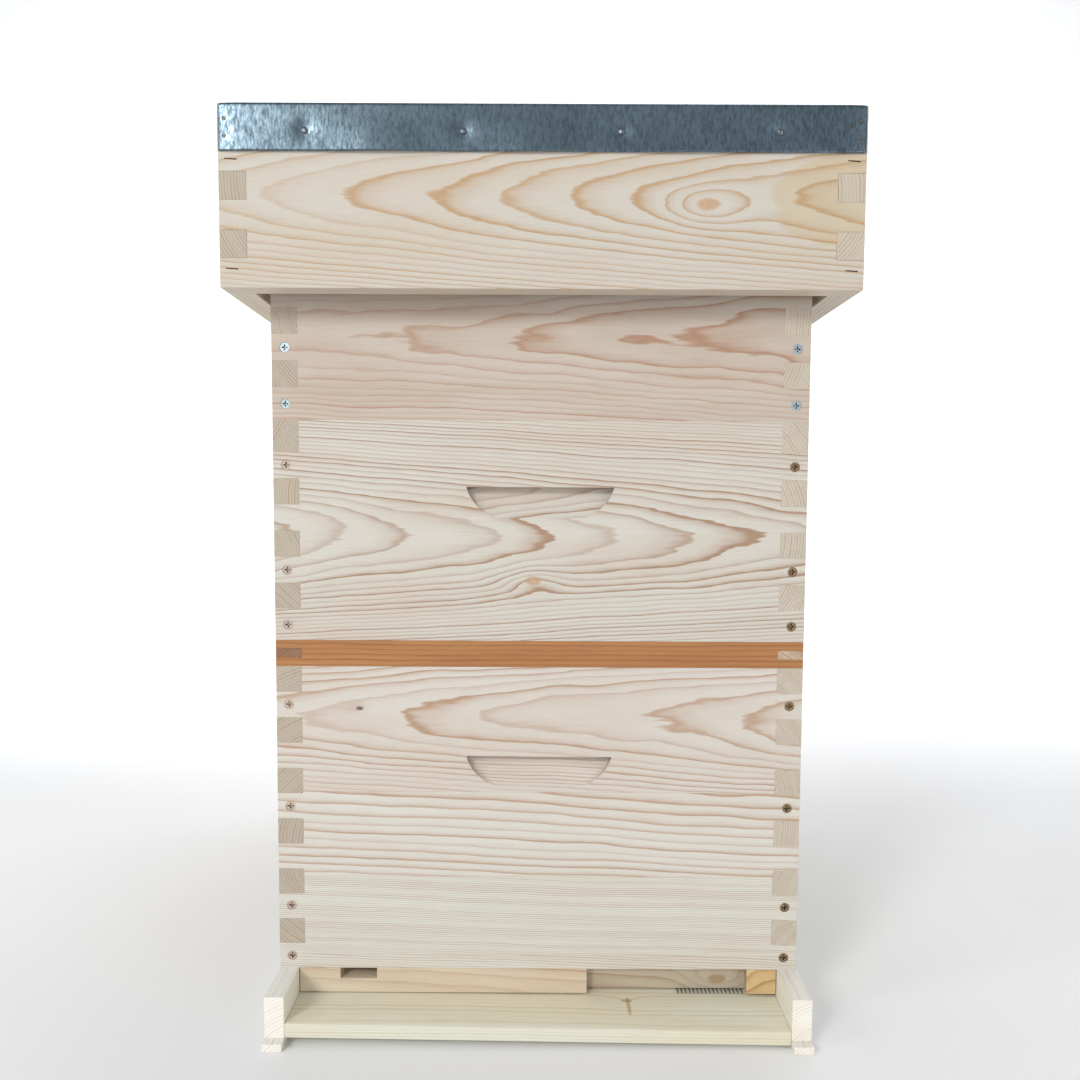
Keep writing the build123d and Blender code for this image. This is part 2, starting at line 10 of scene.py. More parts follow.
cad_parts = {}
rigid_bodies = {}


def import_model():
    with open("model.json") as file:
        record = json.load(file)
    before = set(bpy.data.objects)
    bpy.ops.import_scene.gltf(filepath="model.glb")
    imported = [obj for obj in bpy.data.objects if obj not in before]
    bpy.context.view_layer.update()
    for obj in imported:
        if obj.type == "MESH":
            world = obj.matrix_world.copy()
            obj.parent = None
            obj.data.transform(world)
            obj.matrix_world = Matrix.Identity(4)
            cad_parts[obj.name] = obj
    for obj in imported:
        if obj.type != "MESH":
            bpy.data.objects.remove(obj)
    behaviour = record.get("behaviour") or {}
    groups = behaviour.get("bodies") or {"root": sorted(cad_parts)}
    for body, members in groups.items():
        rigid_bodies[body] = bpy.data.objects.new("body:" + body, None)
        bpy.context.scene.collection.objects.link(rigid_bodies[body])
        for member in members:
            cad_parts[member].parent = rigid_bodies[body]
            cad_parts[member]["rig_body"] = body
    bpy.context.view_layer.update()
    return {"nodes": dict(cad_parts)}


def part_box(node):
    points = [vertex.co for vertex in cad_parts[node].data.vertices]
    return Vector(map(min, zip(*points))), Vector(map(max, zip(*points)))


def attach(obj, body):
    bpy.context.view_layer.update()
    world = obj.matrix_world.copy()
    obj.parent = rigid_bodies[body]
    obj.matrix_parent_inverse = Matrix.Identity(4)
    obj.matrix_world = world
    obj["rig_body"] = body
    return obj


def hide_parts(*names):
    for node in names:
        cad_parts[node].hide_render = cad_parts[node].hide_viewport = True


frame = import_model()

MM = 0.001
NODES = frame["nodes"]


# ---------------------------------------------------------------- node trees written as expressions
def colour(red, green, blue):
    """A linear colour from screen values of 0 to 255."""
    def linear(value):
        part = value / 255
        return part / 12.92 if part <= 0.04045 else ((part + 0.055) / 1.055) ** 2.4
    return (linear(red), linear(green), linear(blue), 1.0)


class Tree:
    """A material's nodes. Each method adds one node and returns its output."""

    def __init__(self, name):
        self.material = bpy.data.materials.new(name)
        self.material.use_nodes = True
        self.tree = self.material.node_tree
        self.shader = self.tree.nodes["Principled BSDF"]

    def put(self, socket, value):
        if isinstance(value, bpy.types.NodeSocket):
            self.tree.links.new(value, socket)
        elif value is not None:
            socket.default_value = value

    def add(self, kind, **settings):
        node = self.tree.nodes.new("ShaderNode" + kind)
        for key, value in settings.items():
            setattr(node, key, value)
        return node

    def math(self, operation, *values, clamp=False):
        node = self.add("Math", operation=operation, use_clamp=clamp)
        for index, value in enumerate(values):
            self.put(node.inputs[index], value)
        return node.outputs[0]

    def total(self, *values):
        result = values[0]
        for value in values[1:]:
            result = self.math("ADD", result, value)
        return result

    def times(self, first, second):
        return self.math("MULTIPLY", first, second)

    def combine(self, x, y, z):
        node = self.add("CombineXYZ")
        for index, value in enumerate((x, y, z)):
            self.put(node.inputs[index], value)
        return node.outputs[0]

    def separate(self, vector):
        node = self.add("SeparateXYZ")
        self.put(node.inputs[0], vector)
        return list(node.outputs)

    def noise(self, vector, scale=1.0, detail=2.0, roughness=0.5, distortion=0.0):
        node = self.add("TexNoise")
        self.put(node.inputs["Vector"], vector)
        self.put(node.inputs["Scale"], scale)
        self.put(node.inputs["Detail"], detail)
        self.put(node.inputs["Roughness"], roughness)
        self.put(node.inputs["Distortion"], distortion)
        return node.outputs["Fac"]

    def smooth(self, value, low, high, to_low=0.0, to_high=1.0):
        node = self.add("MapRange", interpolation_type="SMOOTHSTEP")
        for index, item in enumerate((value, low, high, to_low, to_high)):
            self.put(node.inputs[index], item)
        return node.outputs[0]

    def mix(self, factor, first, second, blend="MIX"):
        node = self.add("Mix", data_type="RGBA", blend_type=blend)
        self.put(node.inputs[0], factor)
        self.put(node.inputs[6], first)
        self.put(node.inputs[7], second)
        return node.outputs[2]

    def ramp(self, value, stops):
        node = self.add("ValToRGB")
        self.put(node.inputs[0], value)
        elements = node.color_ramp.elements
        while len(elements) < len(stops):
            elements.new(0.5)
        for element, (place, shade) in zip(elements, stops):
            element.position = place
            element.color = shade
        return node.outputs[0]

    def bump(self, height, strength, distance):
        node = self.add("Bump")
        self.put(node.inputs["Strength"], strength)
        self.put(node.inputs["Distance"], distance)
        self.put(node.inputs["Height"], height)
        self.put(self.shader.inputs["Normal"], node.outputs[0])

    def coordinates(self, output="Object"):
        return self.add("TexCoord").outputs[output]


# ---------------------------------------------------------------- wood
# for each way of cutting: the axes along the grain, into the board, and across its face
AXES = {"x": (0, 1, 2), "y": (1, 0, 2), "z": (2, 0, 1), "flat": (0, 2, 1)}


def wood(name, along, pith, spacing, early, late, tint, seed, taper=0.0, waves=(5.0, 1.4, 0.35),
         strength=0.9, planks=(), knots=(), zones=(), patches=(), per_piece=None, fibre=0.07,
         end_tone_and_painted_light=0.86, knot_shades=((214, 184, 146), (176, 132, 96))):
    """Sawn softwood cut from a tree whose pith runs along one axis, in millimetres.

    pith is where the tree's centre lies across the grain. planks lists (height, pith shift,
    stain, added ring width) for each glued strip from there up. knots lists (along, across,
    radius, swell). zones lists (start along the grain, stain) for stretches of other timber, and patches lists
    (along, across, half length, half height, stain) for blotches. per_piece is (axis, pitch) for a row
    of like bars, each of which then gets its own piece of tree.
    """
    tree = Tree(name)
    mm = tree.add("VectorMath", operation="SCALE")
    tree.put(mm.inputs[0], tree.coordinates())
    mm.inputs["Scale"].default_value = 1000.0
    parts = tree.separate(mm.outputs[0])
    index_a, index_u, index_v = AXES[along]
    a, u, v = parts[index_a], parts[index_u], parts[index_v]

    shift = float(seed)
    plank_u, joint, ring_width = 0.0, None, spacing
    for height, move, _, wider in planks:
        step = tree.math("GREATER_THAN", v, height)
        plank_u = tree.total(plank_u, tree.times(step, move))
        ring_width = tree.total(ring_width, tree.times(step, wider))
        line = tree.smooth(tree.math("ABSOLUTE", tree.math("SUBTRACT", v, height)), 0.1, 0.5, 1, 0)
        joint = line if joint is None else tree.math("MAXIMUM", joint, line)
    if per_piece:
        axis, pitch = per_piece
        number = tree.math("FLOOR", tree.math("DIVIDE", parts[axis], pitch))
        plank_u = tree.total(plank_u, tree.times(number, 23.7))

    def streaked(along_scale, across_scale, extra):
        offset = tree.total(tree.times(plank_u, 0.37), shift + extra)
        return tree.combine(tree.times(a, along_scale), tree.total(tree.times(u, across_scale), offset),
                            tree.total(tree.times(v, across_scale), offset))

    du = tree.math("SUBTRACT", u, tree.total(plank_u, float(pith[0])))
    dv = tree.math("SUBTRACT", v, float(pith[1]))
    radius = tree.math("SQRT", tree.total(tree.times(du, du), tree.times(dv, dv)))
    big = tree.noise(streaked(0.006, 0.016, 0.0), detail=2.0)
    middle = tree.noise(streaked(0.016, 0.07, 7.3), detail=2.0, roughness=0.6)
    small = tree.noise(streaked(0.035, 0.42, 15.1), detail=1.0)
    field = tree.total(radius, tree.times(a, taper), tree.times(big, 2 * waves[0]),
                       tree.times(middle, 2 * waves[1]), tree.times(small, 2 * waves[2]))

    heart = None
    for place, across, size, swell in knots:
        da = tree.math("SUBTRACT", a, float(place))
        dk = tree.math("SUBTRACT", v, float(across))
        far = tree.total(tree.times(tree.times(da, da), 1.0 / (3.2 * size) ** 2),
                         tree.times(tree.times(dk, dk), 1.0 / (1.5 * size) ** 2))
        field = tree.total(field, tree.times(tree.math("POWER", 2.718, tree.times(far, -1.0)), swell))
        near = tree.math("SQRT", tree.total(tree.times(tree.times(da, da), 0.3), tree.times(dk, dk)))
        spot = tree.smooth(near, 0.35 * size, 0.6 * size, 1, 0)
        heart = spot if heart is None else tree.math("MAXIMUM", heart, spot)

    rings = tree.math("DIVIDE", field, ring_width)
    fraction = tree.math("FRACT", rings)
    whole = tree.math("FLOOR", rings)
    white = tree.add("TexWhiteNoise", noise_dimensions="1D")
    tree.put(white.inputs["W"], tree.total(whole, shift))
    vigour = tree.smooth(white.outputs["Value"], 0.0, 1.0, 0.35, 1.0)
    band = tree.ramp(fraction, [(0.0, (0, 0, 0, 1)), (0.38, (0.04, 0.04, 0.04, 1)),
                                (0.72, (0.34, 0.34, 0.34, 1)), (0.90, (1, 1, 1, 1)),
                                (0.955, (0.75, 0.75, 0.75, 1)), (1.0, (0, 0, 0, 1))])
    latewood = tree.math("MULTIPLY", tree.times(band, vigour), strength, clamp=True)

    patch = tree.smooth(tree.noise(streaked(0.005, 0.03, 31.0), detail=3.0), 0.38, 0.66)
    base = tree.mix(tree.times(patch, 0.75), early, tint)
    shade = tree.mix(latewood, base, late)
    fibres = tree.noise(streaked(0.045, 2.3, 3.0), detail=3.0, roughness=0.65)
    fibres = tree.smooth(fibres, 0.25, 0.75, 1.0 - fibre, 1.0 + fibre * 0.45)
    shade = tree.mix(1.0, shade, tree.combine(fibres, fibres, fibres), "MULTIPLY")
    if heart is not None:
        core = tree.noise(tree.combine(tree.times(a, 0.5), tree.times(u, 0.5), tree.times(v, 0.5)),
                          detail=3.0)
        core_shade = tree.mix(core, *[colour(*knot_shade) for knot_shade in knot_shades])
        shade = tree.mix(tree.times(heart, 0.8), shade, core_shade)
    for place, across, half_a, half_v, stain in patches:
        da = tree.math("DIVIDE", tree.math("SUBTRACT", a, float(place)), float(half_a))
        dk = tree.math("DIVIDE", tree.math("SUBTRACT", v, float(across)), float(half_v))
        far = tree.total(tree.times(da, da), tree.times(dk, dk), tree.times(middle, 0.7))
        inside = tree.smooth(far, 1.18, 1.36, 1, 0)
        shade = tree.mix(inside, shade, tree.mix(1.0, shade, stain, "MULTIPLY"))
    stains = [(a, start, stain) for start, stain in zones]
    stains += [(v, height, stain) for height, _, stain, _ in planks]
    for axis, start, stain in stains:
        step = tree.math("GREATER_THAN", axis, float(start))
        shade = tree.mix(step, shade, tree.mix(1.0, shade, stain, "MULTIPLY"))
    if joint is not None:
        shade = tree.mix(tree.times(joint, 0.28), shade, late)

    normal = tree.separate(tree.coordinates("Normal"))[index_a]
    end = tree.smooth(tree.math("ABSOLUTE", normal), 0.55, 0.8)
    pores = tree.noise(mm.outputs[0], scale=1.7, detail=2.0, roughness=0.7)
    # end grain's own tone, which on some boards also carries painted light and shade
    pores = tree.smooth(pores, 0.3, 0.7, end_tone_and_painted_light * 0.88, end_tone_and_painted_light * 1.08)
    warm = tree.combine(pores, tree.times(pores, 0.965), tree.times(pores, 0.95))
    shade = tree.mix(end, shade, tree.mix(1.0, shade, warm, "MULTIPLY"))
    tree.put(tree.shader.inputs["Base Color"], shade)

    height = tree.total(tree.times(latewood, 0.5), fibres, tree.times(end, tree.times(pores, 2.0)))
    tree.bump(height, 0.35, 0.0004)
    tree.put(tree.shader.inputs["Roughness"], tree.smooth(latewood, 0.0, 1.0, 0.66, 0.52))
    tree.shader.inputs["Specular IOR Level"].default_value = 0.35
    return tree.material


# ---------------------------------------------------------------- metals and wax
def galvanised(name):
    """Zinc-coated sheet: a fine crystalline grain drawn out down the skirt, and faint scuffs."""
    tree = Tree(name)
    place = tree.coordinates()
    x, y, z = tree.separate(place)
    streak = tree.combine(tree.times(x, 620.0), tree.times(y, 620.0), tree.times(z, 210.0))
    grain = tree.noise(streak, detail=3.0, roughness=0.62)
    spangle = tree.add("TexVoronoi")
    tree.put(spangle.inputs["Vector"], place)
    spangle.inputs["Scale"].default_value = 260.0
    cell = tree.separate(spangle.outputs["Color"])[0]
    cloud = tree.noise(place, scale=9.0, detail=3.0)
    value = tree.total(tree.smooth(grain, 0.28, 0.74, -0.22, 0.26), tree.smooth(cell, 0, 1, -0.03, 0.03),
                       tree.smooth(cloud, 0.3, 0.7, -0.05, 0.05))
    dark = colour(50, 58, 63)
    light = colour(138, 160, 173)
    shade = tree.mix(tree.math("ADD", value, 0.42, clamp=True), dark, light)
    tree.put(tree.shader.inputs["Base Color"], shade)
    tree.shader.inputs["Metallic"].default_value = 1.0
    scuffs = tree.smooth(cloud, 0.3, 0.7, -0.04, 0.06)
    roughness = tree.total(tree.smooth(grain, 0.3, 0.7, 0.44, 0.30), scuffs)
    tree.put(tree.shader.inputs["Roughness"], roughness)
    tree.bump(tree.total(grain, tree.times(cell, 0.25)), 0.22, 0.00025)
    return tree.material


def plated(name, bright, dull, roughness, grime=0.35, painted_highlight_left=None):
    """Plated steel of screws, pins and wire, dulled in patches and darkened in its hollows by painted shade.

    A colour given for those left of centre is a painted highlight, and those are dulled less.
    """
    tree = Tree(name)
    place = tree.coordinates()
    patches = tree.smooth(tree.noise(place, scale=900.0, detail=3.0), 0.35, 0.7)
    scratches = tree.noise(place, scale=2600.0, detail=2.0)
    if painted_highlight_left is not None:
        # screws left of centre get a painted highlight: a brighter colour and less dulling
        on_left = tree.math("LESS_THAN", tree.separate(place)[0], 0.0)
        bright = tree.mix(on_left, bright, painted_highlight_left)
        patches = tree.times(patches, tree.smooth(on_left, 0, 1, 1.0, 0.35))
    shade = tree.mix(tree.times(patches, grime), bright, dull)
    # painted shade: the colour is darkened in hollows, such as the screws' cross recesses
    hollow = tree.add("AmbientOcclusion", samples=8)
    hollow.inputs["Distance"].default_value = 0.0015
    painted_hollow_shade = tree.smooth(hollow.outputs["AO"], 0.35, 0.85, 0.12, 1.0)
    shade = tree.mix(1.0, shade, tree.combine(painted_hollow_shade, painted_hollow_shade, painted_hollow_shade), "MULTIPLY")
    tree.put(tree.shader.inputs["Base Color"], shade)
    tree.shader.inputs["Metallic"].default_value = 1.0
    tree.put(tree.shader.inputs["Roughness"], tree.smooth(patches, 0, 1, roughness, roughness + 0.2))
    tree.bump(scratches, 0.15, 0.0001)
    return tree.material


def beeswax(name):
    """Pressed wax sheet: rows of round cells, every other row shifted by half a cell."""
    tree = Tree(name)
    _, y, z = tree.separate(tree.coordinates())
    pitch = 5.4 * MM
    row = tree.math("DIVIDE", z, pitch * 0.866)
    odd = tree.math("MODULO", tree.math("FLOOR", row), 2.0)
    column = tree.total(tree.math("DIVIDE", y, pitch), tree.times(odd, 0.5))
    du = tree.math("SUBTRACT", tree.math("FRACT", column), 0.5)
    dv = tree.math("SUBTRACT", tree.math("FRACT", row), 0.5)
    cell = tree.math("SQRT", tree.total(tree.times(du, du), tree.times(dv, dv)))
    wall = tree.smooth(cell, 0.30, 0.48)
    cloud = tree.noise(tree.coordinates(), scale=22.0, detail=3.0)
    shade = tree.mix(cloud, colour(226, 178, 92), colour(240, 205, 132))
    shade = tree.mix(tree.times(wall, 0.45), shade, colour(196, 140, 60))
    tree.put(tree.shader.inputs["Base Color"], shade)
    tree.put(tree.shader.inputs["Roughness"], tree.smooth(cloud, 0.3, 0.7, 0.38, 0.5))
    tree.shader.inputs["Subsurface Weight"].default_value = 0.15
    tree.shader.inputs["Subsurface Radius"].default_value = (0.004, 0.002, 0.001)
    tree.bump(wall, 0.5, 0.0008)
    return tree.material


# ---------------------------------------------------------------- pieces that stand for CAD nodes
def object_from(name, build, material, body, replaced=()):
    """A new mesh object filled by build(bmesh), riding on a body."""
    work = bmesh.new()
    build(work)
    mesh = bpy.data.meshes.new(name)
    work.to_mesh(mesh)
    work.free()
    piece = bpy.data.objects.new(name, mesh)
    bpy.context.scene.collection.objects.link(piece)
    mesh.materials.append(material)
    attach(piece, body)
    if replaced:
        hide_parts(*replaced)
    return piece


SHARP = math.radians(40)         # edges sharper than this are eased
LONG_EDGE = 3.5 * MM             # and shorter ones than this are left


def worked(node, material, ease=0.45 * MM):
    """A wooden node as a joiner leaves it: the same shape with its edges eased."""
    source = NODES[node]

    def build(work):
        work.from_mesh(source.data)
        bmesh.ops.remove_doubles(work, verts=work.verts, dist=2e-6)
        bmesh.ops.dissolve_limit(work, angle_limit=math.radians(0.5), verts=work.verts, edges=work.edges)
        edges = []
        for edge in work.edges:
            if len(edge.link_faces) != 2 or edge.calc_length() < LONG_EDGE:
                continue
            if edge.calc_face_angle(0.0) > SHARP:
                edges.append(edge)
        bmesh.ops.bevel(work, geom=edges, offset=ease, segments=2, profile=0.5, affect="EDGES",
                        clamp_overlap=True)
        bmesh.ops.triangulate(work, faces=work.faces)

    object_from(node + "_wood", build, material, source["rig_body"], (node,))


def paint(node, material):
    """Gives a CAD node that keeps its own shape a better material."""
    mesh = NODES[node].data
    mesh.materials.clear()
    mesh.materials.append(material)


def middle(node):
    """The centre of a CAD node's box."""
    low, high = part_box(node)
    return (Vector(low) + Vector(high)) / 2


# ---------------------------------------------------------------- the boards' own timber
CREAM = colour(214, 206, 190)
PINK = colour(211, 194, 177)
SAND = colour(220, 210, 190)
TAN = colour(186, 146, 112)
ROSE = colour(180, 142, 117)
GREY = colour(205, 199, 182)
# how light the boards' end grain is, with painted light and shade: the left boards' ends are darkened as
# painted shade at the front corners, and the right ones lightened as painted light
END_TONES_AND_PAINTED_LIGHT = {(box, place): 0.77 if place == "left" else 1.0
              for box in ("brood", "super_1", "super_2", "roof") for place in ("rear", "left", "right")}


def pith_behind(node, along, depth, drop=0.0):
    """A pith place, in mm, that lies depth behind a board's outer face, drop below its middle."""
    low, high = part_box(node)
    mid = middle(node)
    _, index_u, index_v = AXES[along]
    outward = 1 if mid[index_u] > 0.01 else -1
    face = high[index_u] if outward > 0 else low[index_u]
    return (face / MM - outward * depth, mid[index_v] / MM - drop)


def dress_boards():
    """Every board of the roof and of the three boxes, each from its own piece of tree."""
    roof_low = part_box("roof_front_board")[0][2] / MM
    worked("roof_front_board", wood(
        "roof_front_pine", "x", pith_behind("roof_front_board", "x", 112, -4), 1.75,
        colour(210, 203, 191), colour(192, 160, 124), colour(208, 196, 178), 11, taper=-0.033,
        waves=(1.5, 0.5, 0.14), strength=1.1, knots=((119, roof_low + 60, 9, -4.2),),
        patches=((232, roof_low + 62, 72, 34, (0.97, 0.90, 0.76, 1)),)))
    worked("super_2_front_board", wood(
        "super_2_front_pine", "x", pith_behind("super_2_front_board", "x", 118, 22), 1.7,
        colour(206, 194, 180), ROSE, colour(198, 180, 163), 23, taper=-0.016, waves=(2.8, 1.0, 0.16),
        strength=1.1))
    super_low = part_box("super_1_front_board")[0][2] / MM
    worked("super_1_front_board", wood(
        "super_1_front_pine", "x", pith_behind("super_1_front_board", "x", 106, 4), 1.65,
        colour(216, 211, 200), colour(174, 143, 118), colour(212, 201, 186), 37, taper=0.031,
        waves=(1.6, 0.62, 0.19), strength=1.35, knots=((-5, super_low + 47, 7, 3.4),)))
    brood_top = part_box("brood_front_board")[1][2] / MM
    worked("brood_front_board", wood(
        "brood_front_pine", "x", pith_behind("brood_front_board", "x", 96, -80), 1.9,
        colour(225, 223, 213), colour(192, 162, 136), colour(222, 216, 203), 51, taper=-0.027,
        waves=(2.9, 1.0, 0.18), strength=1.2,
        planks=((brood_top - 231, -40.0, (0.99, 1.0, 1.0, 1), -0.4),
                (brood_top - 167, 70.0, (1.0, 0.965, 0.965, 1), 2.6),
                (brood_top - 99, -45.0, (0.965, 0.935, 0.925, 1), -1.9)),
        knots=((-140, brood_top - 33, 3.2, 0.6),), knot_shades=((104, 78, 62), (66, 48, 40))))
    shades = ((CREAM, TAN, PINK), (SAND, TAN, CREAM), (GREY, ROSE, CREAM))
    seed = 60
    for box in ("brood", "super_1", "super_2", "roof"):
        for place, along in (("rear", "x"), ("left", "y"), ("right", "y")):
            node = box + "_" + place + "_board"
            chance = random.Random(seed)
            early, late, tint = shades[seed % 3]
            pith = pith_behind(node, along, chance.uniform(60, 120), chance.uniform(-40, 40))
            worked(node, wood(node.replace("board", "pine"), along, pith, chance.uniform(1.7, 2.5),
                              early, late, tint, seed, taper=chance.uniform(-0.028, 0.028),
                              waves=(chance.uniform(1.8, 3.0), 0.8, 0.16), strength=0.9,
                              end_tone_and_painted_light=END_TONES_AND_PAINTED_LIGHT[box, place]))
            seed += 7


def dress_rims():
    """The queen excluder's cedar rails and the inner cover's pine ones."""
    cedar_early, cedar_late, cedar_tint = colour(190, 135, 86), colour(148, 94, 54), colour(178, 120, 74)
    seed = 200
    for place, along in (("front", "x"), ("rear", "x"), ("left", "y"), ("right", "y")):
        node = "excluder_" + place + "_rail"
        # the left side rail is darkened as painted shade and the right one lightened as painted light; the
        # front and rear rails keep the cedar colours
        early = {"left": colour(168, 130, 100), "right": colour(224, 206, 178)}.get(place, cedar_early)
        late = {"left": colour(128, 96, 74), "right": colour(184, 150, 116)}.get(place, cedar_late)
        worked(node, wood("excluder_" + place + "_cedar", along,
                          pith_behind(node, along, 90, 120), 3.2, early, late, cedar_tint, seed,
                          waves=(2.5, 0.8, 0.25), strength=0.9, fibre=0.16, end_tone_and_painted_light=0.86), 0.4 * MM)
        node = "inner_cover_" + place + "_rail"
        worked(node, wood("cover_" + place + "_pine", along, pith_behind(node, along, 60, 90), 4.0,
                          SAND, TAN, CREAM, seed + 3, waves=(3.0, 1.0, 0.3)), 0.5 * MM)
        seed += 11


def dress_floor():
    """The bottom board's own timber, the reducer and the tray."""
    pale = (colour(234, 233, 216), colour(206, 190, 156), colour(234, 226, 198))
    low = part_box("landing_board")[0]
    worked("landing_board", wood(
        "landing_pine", "flat", (-98.0, low[1] / MM - 20), 2.4, *pale, 301, taper=0.008,
        waves=(2.0, 0.6, 0.15), strength=0.65,
        knots=((70, low[1] / MM + 40, 5, 3.0),), knot_shades=((206, 180, 146), (180, 146, 112)),
        patches=((71, low[1] / MM + 32, 1.6, 13, (0.74, 0.62, 0.50, 1)),)), 0.8 * MM)
    for side, seed in (("left", 311), ("right", 317)):
        for part in ("rail", "skid"):
            node = "floor_" + part + "_" + side
            mid = middle(node)
            pith = (mid[0] / MM + 30, -30.0)
            # the rails' and skids' end grain is made lighter than their faces: painted light on their brightly
            # lit front ends
            worked(node, wood(node + "_pine", "y", pith, 2.6, colour(244, 244, 236),
                              colour(208, 192, 170), colour(238, 234, 222), seed,
                              waves=(1.5, 0.5, 0.2), strength=0.7, end_tone_and_painted_light=1.16), 0.7 * MM)
            seed += 2
    for node, seed in (("floor_front_bar", 331), ("floor_rear_bar", 337), ("tray_lip", 341)):
        mid = middle(node)
        worked(node, wood(node + "_pine", "x", (mid[1] / MM + 50, mid[2] / MM + 30), 4.2, SAND, TAN,
                          CREAM, seed, waves=(3.0, 1.0, 0.3)), 0.6 * MM)
    mid = middle("entrance_reducer")
    worked("entrance_reducer", wood(
        "reducer_wood", "x", (mid[1] / MM + 62, mid[2] / MM - 20), 2.6, colour(226, 212, 188),
        colour(186, 148, 118), colour(216, 194, 168), 351, taper=0.012, waves=(1.8, 0.6, 0.2),
        knots=((144, mid[2] / MM - 2, 8, 7.0),),
        zones=((39, (0.74, 0.74, 0.74, 1)), (166, (1.36, 1.18, 0.78, 1)))), 0.5 * MM)
    ply = (colour(214, 190, 150), colour(190, 158, 112), colour(206, 180, 138))
    for node, seed in (("roof_deck", 361), ("inner_cover_panel", 367), ("monitoring_tray", 373)):
        mid = middle(node)
        worked(node, wood(node + "_ply", "x", (mid[1] / MM + 400, mid[2] / MM - 300), 9.0, *ply, seed,
                          waves=(14.0, 3.0, 0.5), strength=0.5), 0.3 * MM)
    for node, seed in (("roof_batten_front", 381), ("roof_batten_rear", 387)):
        mid = middle(node)
        worked(node, wood(node + "_pine", "x", (mid[1] / MM + 40, mid[2] / MM - 60), 4.5, SAND, TAN,
                          CREAM, seed), 0.6 * MM)


def dress_frames():
    """The thirty frames: bars with their grain along them, and wax sheets."""
    pitch = 36.0
    wax = beeswax("beeswax")
    base = (colour(226, 206, 168), colour(198, 162, 114), colour(218, 196, 154))
    for set_name, seed in (("brood_frame", 401), ("super_1_frame", 421), ("super_2_frame", 441)):
        mid = middle(set_name + "_top_bars")
        bars = wood(set_name + "_bar_wood", "y", (30.0, mid[2] / MM - 60), 3.4, *base, seed,
                    waves=(2.0, 0.8, 0.3), per_piece=(0, pitch))
        ends = wood(set_name + "_end_wood", "z", (20.0, mid[1] / MM - 290), 3.0, *base, seed + 5,
                    waves=(2.0, 0.8, 0.3), per_piece=(0, pitch))
        worked(set_name + "_top_bars", bars, 0.5 * MM)
        worked(set_name + "_bottom_bars", bars, 0.5 * MM)
        worked(set_name + "_end_bars", ends, 0.5 * MM)
        paint(set_name + "_foundation", wax)


# ---------------------------------------------------------------- the galvanised cap
BEND_R = 2.2 * MM                # of the fold between the top and the skirt
CORNER_R = 3.0 * MM              # of the upright corners
SHEET_LIP = 0.6 * MM             # thickness seen along the lower edge
SKIRT_LEVELS = 22
BEND_STEPS = 4
CORNER_STEPS = 6
END_STEPS = 150
SIDE_STEPS = 180
TOP_INSETS = (0.008, 0.02, 0.045, 0.08, 0.12, 0.17)
TOP_SPRING = 1.1 * MM            # how far the top rises off the deck
SKIRT_SPRING = 1.0 * MM          # how far the skirt bows out between its fixings
WANDER = 0.25 * MM
STAND_OFF = 1.0 * MM             # how far the skirt stands off round a nail's dent
DENT_R = 6.5 * MM
PRESSED_IN = 0.1 * MM
NAIL_PITCH = 113 * MM
NAIL_UP = 14.5 * MM              # from the lower edge of the skirt


